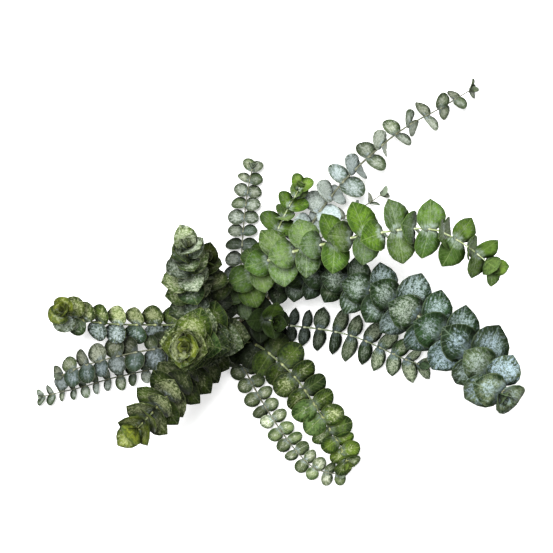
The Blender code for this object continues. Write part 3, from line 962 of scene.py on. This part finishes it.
@dataclass
class Wood:
    """The woody stem that carries all the leafy stems."""

    route: tuple = ((-83, -79, 4.6), (-42, -39, 4.6), (0, 0, 4.6), (29, 28, 6), (54, 55, 9))
    step: float = 6 * MM
    radius_cut_end: float = 4.9 * MM
    radius_far_end: float = 3.0 * MM
    swelling: float = 0.10
    swelling_half_length: float = 5 * MM
    sides_level: int = 10
    fine_step: float = 1.5 * MM
    smooth_angle: float = math.radians(40)

    def __post_init__(self) -> None:
        """Lay out its path."""
        self.path = Path([from_hub(point) for point in self.route], self.step)

    def radius(self, distance: float) -> float:
        """Radius at a distance from the cut end, with a swelling at each seat.

        Args:
            distance: Distance along the wood.

        Returns:
            The radius.
        """
        length = self.path.length
        radius = self.radius_cut_end
        radius += (self.radius_far_end - self.radius_cut_end) * distance / length
        nearest = min(abs(distance - plan.seat * MM) for plan in STEMS)
        swelling = max(0.0, 1 - (nearest / self.swelling_half_length) ** 2)
        return radius * (1 + self.swelling * swelling)

    def foot(self, plan: LeafyStem) -> list[Vector]:
        """The first three points of a leafy stem, which run straight out of the wood.

        Args:
            plan: The leafy stem.

        Returns:
            The points.
        """
        path, seat = self.path, plan.seat * MM
        if seat > path.length:
            out = path.direction(path.length)
            foot = path.at(path.length) + out * GAP
        else:
            along = path.direction(seat)
            out = from_hub(plan.route[0]) - path.at(seat)
            out = (out - along * out.dot(along)).normalized()
            foot = path.at(seat) + out * (self.radius(seat) + GAP)
        return [foot + out * Path.FOOT_LENGTH * k for k in range(3)]

    def build(self) -> bpy.types.Object:
        """Model the wood, cut flat along the strip that it lies on.

        Returns:
            The finished piece.
        """
        count = round(self.path.length / self.fine_step)
        distances = [self.path.length * k / count for k in range(count + 1)]
        points = [self.path.at(distance) for distance in distances]
        radii = [self.radius(distance) for distance in distances]
        piece = tube("fine_woody_stem", points, radii, self.sides_level)
        with EditMode(piece):
            bpy.ops.mesh.select_all(action="SELECT")
            bpy.ops.mesh.bisect(
                plane_co=(0, 0, 0), plane_no=(0, 0, -1), use_fill=True, clear_outer=True
            )
        start, along = self.path.at(0), self.path.direction(0)
        ends = [(vert.co - start).dot(along) < WELD for vert in piece.data.vertices]
        mark_corners(piece.data, "cut", ends)
        select_only(piece)
        bpy.ops.object.shade_smooth_by_angle(angle=self.smooth_angle)
        piece.data.materials.append(BARK_FINISH.make())
        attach(piece, BODY)
        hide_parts("woody_stem")
        return piece


def tube(
    name: str, points: list[Vector], radii: list[float], sides_level: int
) -> bpy.types.Object:
    """A smooth round mesh tube with closed ends.

    Args:
        name: Its name.
        points: Points of its middle line.
        radii: Its radius at each point.
        sides_level: Curve bevel resolution.

    Returns:
        The tube.
    """
    bpy.ops.object.select_all(action="DESELECT")
    bpy.ops.curve.primitive_bezier_curve_add(location=(0, 0, 0))
    piece = bpy.context.object
    piece.name = piece.data.name = name
    curve = piece.data
    curve.splines.remove(curve.splines[0])
    spline = curve.splines.new("POLY")
    spline.points.add(len(points) - 1)
    for spot, place, radius in zip(spline.points, points, radii):
        spot.co = (*place, 1)
        spot.radius = radius
    curve.bevel_depth = 1
    curve.bevel_resolution = sides_level
    curve.use_fill_caps = True
    bpy.ops.object.convert(target="MESH")
    piece = bpy.context.object
    with EditMode(piece):
        bpy.ops.mesh.select_all(action="SELECT")
        bpy.ops.mesh.remove_doubles(threshold=WELD)
        bpy.ops.mesh.normals_make_consistent(inside=False)
    select_only(piece)
    bpy.ops.object.shade_smooth()
    return piece


@dataclass
class Foliage:
    """Everything that stands on one leafy stem, as one piece."""

    plan: LeafyStem
    number: int
    wood: Wood
    model: bpy.types.Object  # of the plan's leaf pattern

    STEP = 13 * MM
    TIP_RADIUS = 0.55 * MM
    ROOT_OFFSET = 0.3
    END_GAP = 1.5 * MM
    CLOSE_POWER = 5
    LEAST_SPREAD = math.radians(8)
    FADE_SPREAD = math.radians(60)
    UPRIGHT = 0.05
    ANGLE_JITTER = math.radians(9)
    TURN_JITTER = math.radians(14)
    SIZE_JITTER = 0.08
    LENGTH_JITTER = 0.05
    LIGHT_JITTER = 0.3
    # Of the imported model's blades
    LIFTS = (0, 12, 24, 36, 48)
    SIZES = (1.0, 0.85, 0.7)
    SEGMENTS = 8
    TIP_POINT = 0.06
    MATCH = 0.05 * MM
    # Of the leaves that close the tip: size and spread of each pair, and the rest
    TIP_PAIRS = ((0.62, 34), (0.46, 24), (0.32, 12))
    TIP_PACE = 0.9 * MM
    TIP_SPREADS = (0.85, 1.15)
    TIP_SLENDER = 1.1
    TIP_SHARE = 1.1
    # Of a leaf's shape and look, each drawn between two values
    CURL, RUFFLE, RUFFLE_TURN, TWIST = (-0.05, 0.03), (0, 0.022), (0, 6.3), (-0.05, 0.05)
    RUFFLES = 3
    BEND_END = 1.15  # how far out, in half widths, the bend still grows
    DUSTY, COOL, BRIGHT = (-1.7, 1.5), (-0.3, 0.3), (0.76, 1.2)
    YOUNG_FROM, YOUNG_RISE = 0.72, 0.3
    FLOOR_GAP = 0.2 * MM
    # Of the painted shade in the middle of the branch, and the painted light on leaves that point
    # up
    MIDDLE = HUB + Vector((15, 12, 0)) * MM
    SHADE_REACH, SHADE_HEIGHT = 110 * MM, 160 * MM
    SHADE, DARKEST, SKY_LIGHT = 1.2, 0.2, 0.18
    # Of the stem
    STEM_STEP = 2 * MM
    STEM_SIDES_LEVEL = 2
    NODE_REACH, NODE_SWELLING = 3 * MM, 0.35

    def __post_init__(self) -> None:
        """Lay out the stem's path, and start its draws."""
        route = self.wood.foot(self.plan) + [from_hub(point) for point in self.plan.route]
        self.path = Path(route, self.STEP)
        self.flat = np.array([vert.co for vert in self.model.data.vertices])
        self.draw = random.Random(f"looks {self.plan.name}")

    def radius(self, distance: float) -> float:
        """Radius of the stem at a distance from its foot."""
        foot = self.plan.radius * MM
        return foot + (self.TIP_RADIUS - foot) * distance / self.path.length

    def pairs(self) -> Iterator[tuple[int, float, float]]:
        """Space the pairs of leaves from the foot to the tip.

        Yields:
            Number, distance and size of a pair.
        """
        plan = self.plan
        sizes = [plan.leaf_size(k / plan.pairs) for k in range(plan.pairs)]
        steps = [size**plan.crowding for size in sizes]
        distance = plan.bare * self.path.length
        pace = (self.path.length - distance - self.END_GAP) / sum(steps[1:])
        for k, size in enumerate(sizes):
            distance += steps[k] * pace if k else 0
            yield k, distance, size

    def growths(self) -> Iterator[tuple]:
        """Every leaf as it would like to grow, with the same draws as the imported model.

        Yields:
            Base, direction of the stem, way out from it, angle to the stem, width, length,
            turn to the light and how far up the pairs it is.
        """
        plan = self.plan
        draw = random.Random(SEED + self.number)
        quarter = math.pi / 2 if plan.ranks == 4 else 0
        for k, distance, size in self.pairs():
            share = k / (plan.pairs - 1)
            along, side, back = self.path.frame(distance)
            for opposite in (0, math.pi):
                turn = math.radians(plan.turn) + k * quarter + opposite
                turn += draw.uniform(-1, 1) * self.TURN_JITTER
                out = turned(side, back, turn)
                spread = math.radians(plan.spread + plan.recline * max(0.0, out.z))
                closing = math.radians(plan.closing) - spread
                angle = spread + closing * share**self.CLOSE_POWER
                angle += draw.uniform(-1, 1) * self.ANGLE_JITTER
                width = plan.leaf * MM * size * (1 + draw.uniform(-1, 1) * self.SIZE_JITTER)
                stretch = plan.slender * (1 + draw.uniform(-1, 1) * self.LENGTH_JITTER)
                light = plan.light * (1 + draw.uniform(-1, 1) * self.LIGHT_JITTER)
                base = self.path.at(distance) + out * self.ROOT_OFFSET * self.radius(distance)
                yield base, along, out, angle, width, width * stretch, light, share

    def turned_to_light(self, midrib: Vector, face: Vector, light: float) -> Vector:
        """The upper face turned about the midrib towards the sky.

        Args:
            midrib: Direction of the leaf.
            face: Its upper face before the turn.
            light: Share of the turn.

        Returns:
            The upper face after it.
        """
        sky = UP - midrib * midrib.z
        if sky.length < self.UPRIGHT:
            return face
        sky.normalize()
        angle = face.angle(sky)
        if face.cross(sky).dot(midrib) < 0:
            angle = -angle
        fading = min(1.0, max(0.0, (math.pi - abs(angle)) / self.FADE_SPREAD))
        return Quaternion(midrib, angle * light * fading) @ face

    def poses(self, growth: tuple) -> Iterator[Leaf]:
        """The leaf ever more folded and smaller, in the order in which the model tries them.

        Args:
            growth: The leaf as it would like to grow.

        Yields:
            A pose.
        """
        base, along, out, angle, width, length, light, share = growth
        for size in self.SIZES:
            for lift in self.LIFTS:
                spread = max(angle - math.radians(lift), self.LEAST_SPREAD)
                midrib, face = turned(along, out, spread), turned(-out, along, spread)
                face = self.turned_to_light(midrib, face, light)
                yield Leaf(base, midrib, face, width * size, length * size, share)

    def corners(self, leaf: Leaf) -> Iterator[Vector]:
        """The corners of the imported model's blade, without the one at its base.

        Args:
            leaf: The blade's pose.

        Yields:
            A corner.
        """
        across, shape = leaf.face.cross(leaf.midrib), self.plan.pattern
        for k in range(self.SEGMENTS):
            if k == self.SEGMENTS // 2:
                continue
            x, y = math.cos(math.tau * k / self.SEGMENTS), math.sin(math.tau * k / self.SEGMENTS)
            ahead = leaf.length * (shape.middle * (1 + x) + self.TIP_POINT * max(0.0, x) ** 4)
            lift = shape.cup * leaf.width * (y * y - shape.droop * max(0.0, x) ** 2)
            yield leaf.base + leaf.midrib * ahead + across * y * leaf.width / 2 + leaf.face * lift

    def leaves(self, node: bpy.types.Object) -> list[Leaf]:
        """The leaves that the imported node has.

        Args:
            node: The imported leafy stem.

        Returns:
            Their poses.
        """
        tree = search_tree([vert.co for vert in node.data.vertices])
        found = []
        for growth in self.growths():
            best, most = None, 1
            for leaf in self.poses(growth):
                met = sum(tree.find(corner)[2] < self.MATCH for corner in self.corners(leaf))
                if met > most:
                    best, most = leaf, met
            if best is not None:
                found.append(best)
        return found

    def tip_leaves(self) -> Iterator[Leaf]:
        """Small folded leaves that close the tip.

        Yields:
            A leaf.
        """
        plan = self.plan
        along, side, back = self.path.frame(self.path.length)
        for k, (size, spread) in enumerate(self.TIP_PAIRS):
            base = self.path.at(self.path.length) + along * (k - 0.5) * self.TIP_PACE
            for opposite in (0, math.pi):
                turn = math.radians(plan.turn) + (plan.pairs + k) * math.pi / 2 + opposite
                turn += self.draw.uniform(-1, 1) * self.TURN_JITTER
                angle = math.radians(spread) * self.draw.uniform(*self.TIP_SPREADS)
                out = turned(side, back, turn)
                midrib, face = turned(along, out, angle), turned(-out, along, angle)
                width = plan.leaf * MM * plan.tip_size * size
                length = width * plan.slender * self.TIP_SLENDER
                yield Leaf(base, midrib, face, width, length, self.TIP_SHARE)

    def blade(self, leaf: Leaf) -> bpy.types.Object:
        """A copy of the pattern, bent and placed as one leaf.

        Args:
            leaf: Its pose.

        Returns:
            The leaf's object.
        """
        draw, shape = self.draw, self.plan.pattern
        x, y, z = self.flat.T
        ahead = (x - shape.middle) / (1 - shape.middle)
        away = np.minimum(np.hypot(ahead, 2 * y), self.BEND_END)
        lift = shape.cup * (4 * y * y - shape.droop * np.maximum(0, ahead) ** 2) * away
        lift += draw.uniform(*self.CURL) * ahead * np.abs(ahead)
        ruffle = draw.uniform(*self.RUFFLE)
        turns = self.RUFFLES * np.arctan2(2 * y, ahead) + draw.uniform(*self.RUFFLE_TURN)
        lift += ruffle * away**3 * np.sin(turns) + draw.uniform(*self.TWIST) * y * ahead
        places = np.array(leaf.base) + np.outer(x * leaf.length, leaf.midrib)
        places = places + np.outer(y * leaf.width, leaf.face.cross(leaf.midrib))
        places = places + np.outer((z + lift) * leaf.width, leaf.face)
        places[:, 2] = np.maximum(places[:, 2], self.FLOOR_GAP)
        copy = self.model.copy()
        copy.data = self.model.data.copy()
        copy.data.vertices.foreach_set("co", places.ravel())
        for name, mark in self.marks(leaf).items():
            mark_corners(copy.data, name, [mark] * len(places))
        bpy.context.scene.collection.objects.link(copy)
        return copy

    def marks(self, leaf: Leaf) -> dict[str, float]:
        """What the leaf's finish reads from it, with painted shade deep in the middle of the
        branch.

        Args:
            leaf: Its pose.

        Returns:
            A number for each of the pattern's marks that isn't its own.
        """
        plan, draw, share = self.plan, self.draw, min(leaf.share, 1.0)
        young = min(1.0, max(0.0, leaf.share - self.YOUNG_FROM) / self.YOUNG_RISE) ** 1.5
        # Painted shade on leaves low and near the middle of the branch, and painted light on
        # leaves whose midrib points up
        away = (leaf.base - self.MIDDLE).xy.length / self.SHADE_REACH
        depth = max(0.0, 1 - away) * max(0.0, 1 - leaf.base.z / self.SHADE_HEIGHT)
        light = max(self.DARKEST, 1 - self.SHADE * depth) * (1 + self.SKY_LIGHT * leaf.midrib.z)
        # The -Y side is made bluer as painted shade
        cool = blend(plan.cool, share) - plan.cool_painted_shade_side * leaf.midrib.y
        return {
            "tone": draw.random(),
            "young": plan.glow * young,
            "dusty": blend(plan.dusty, share) + draw.uniform(*self.DUSTY),
            "cool": cool + draw.uniform(*self.COOL),
            "bright": blend(plan.bright, share) * (light * draw.uniform(*self.BRIGHT)),
        }

    def stem(self) -> bpy.types.Object:
        """The stem, with a small swelling where each pair of leaves stands.

        Returns:
            The stem's object.
        """
        nodes = [distance for k, distance, size in self.pairs()]
        count = max(2, round(self.path.length / self.STEM_STEP))
        places = [self.path.length * k / count for k in range(count + 1)]
        away = [min(abs(place - node) for node in nodes) for place in places]
        near = [max(0.0, 1 - distance / self.NODE_REACH) for distance in away]
        swell = [1 + self.NODE_SWELLING * share for share in near]
        radii = [self.radius(place) * share for place, share in zip(places, swell)]
        points = [self.path.at(place) for place in places]
        piece = tube("stem", points, radii, self.STEM_SIDES_LEVEL)
        tree = search_tree(points)
        axil = [near[tree.find(vert.co)[1]] for vert in piece.data.vertices]
        mark_corners(piece.data, "axil", axil)
        return piece

    def build(self, node: bpy.types.Object, finishes: dict) -> bpy.types.Object:
        """Make the whole leafy stem.

        Args:
            node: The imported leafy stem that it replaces.
            finishes: Leaf and stem material of each kind.

        Returns:
            The finished piece.
        """
        leaf_material, stem_material = finishes[self.plan.look or self.plan.kind]
        piece = self.stem()
        piece.data.materials.append(stem_material)
        grown = self.leaves(node)
        blades = [self.blade(leaf) for leaf in (*grown, *self.tip_leaves())]
        for blade in blades:
            blade.data.materials.append(leaf_material)
        select_only(piece)
        for blade in blades:
            blade.select_set(True)
        bpy.ops.object.join()
        piece.name = piece.data.name = self.plan.name.replace("leafy_stem", "shoot")
        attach(piece, BODY)
        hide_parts(self.plan.name)
        log.info("%s: %d of %d leaves", piece.name, len(grown), 2 * self.plan.pairs)
        return piece


# Surroundings


@dataclass
class Studio:
    """Pale floor, soft light and a camera that looks straight down."""

    camera_place: Point = (0.0141, 0.0082, 1.30)
    lens: float = 76.8
    sensor: float = 36
    floor_size: float = 24.0
    world_strength: float = 0.28
    # Name, place, side in metres and power in watts of each soft light
    lights: tuple = (
        ("key_light", (-0.28, 0.38, 1.9), 0.7, 66),
        ("fill_light", (0.9, -0.5, 1.5), 1.2, 8),
    )
    aim: Point = (0, 0, 0.08)

    def build(self) -> None:
        """Set up the floor, the lights, the camera and the view's colours."""
        bpy.ops.object.select_all(action="DESELECT")
        bpy.ops.mesh.primitive_plane_add(size=self.floor_size, location=(0, 0, 0))
        floor = bpy.context.object
        floor.name = "floor"
        floor.data.materials.append(FLOOR_FINISH.make())
        floor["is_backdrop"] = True
        for name, place, size, power in self.lights:
            bpy.ops.object.light_add(type="AREA", location=place)
            light = bpy.context.object
            light.name, light.data.size, light.data.energy = name, size, power
            sight = Vector(self.aim) - Vector(place)
            light.rotation_euler = sight.to_track_quat("-Z", "Y").to_euler()
        bpy.ops.object.camera_add(location=self.camera_place, rotation=(0, 0, 0))
        camera = bpy.context.object
        camera.data.lens = self.lens
        camera.data.sensor_width = self.sensor
        bpy.context.scene.camera = camera
        world = bpy.data.worlds.new("studio")
        world.use_nodes = True
        background = world.node_tree.nodes["Background"]
        background.inputs["Color"].default_value = (1, 1, 1, 1)
        background.inputs["Strength"].default_value = self.world_strength
        bpy.context.scene.world = world
        bpy.context.scene.view_settings.view_transform = "Standard"


def main() -> None:
    """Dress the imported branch."""
    logging.basicConfig(level=logging.INFO, format="%(message)s")
    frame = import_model()
    packed_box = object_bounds()
    Studio().build()
    wood = Wood()
    log.info("%s", wood.build().name)
    models = {pattern: pattern.model() for pattern in (POINTED, BLUNT)}
    finishes = {kind: (LEAF_FINISHES[kind].make(), STEM_FINISHES[kind].make()) for kind in Kind}
    for number, plan in enumerate(STEMS):
        foliage = Foliage(plan, number, wood, models[plan.pattern])
        foliage.build(frame["nodes"][plan.name], finishes)
    for model in models.values():
        bpy.data.objects.remove(model)
    bpy.context.view_layer.update()
    boxes = {"packed": packed_box, "visual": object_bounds()}
    {name: [list(corner) for corner in box] for name, box in boxes.items()}


if __name__ == "__main__":
    main()
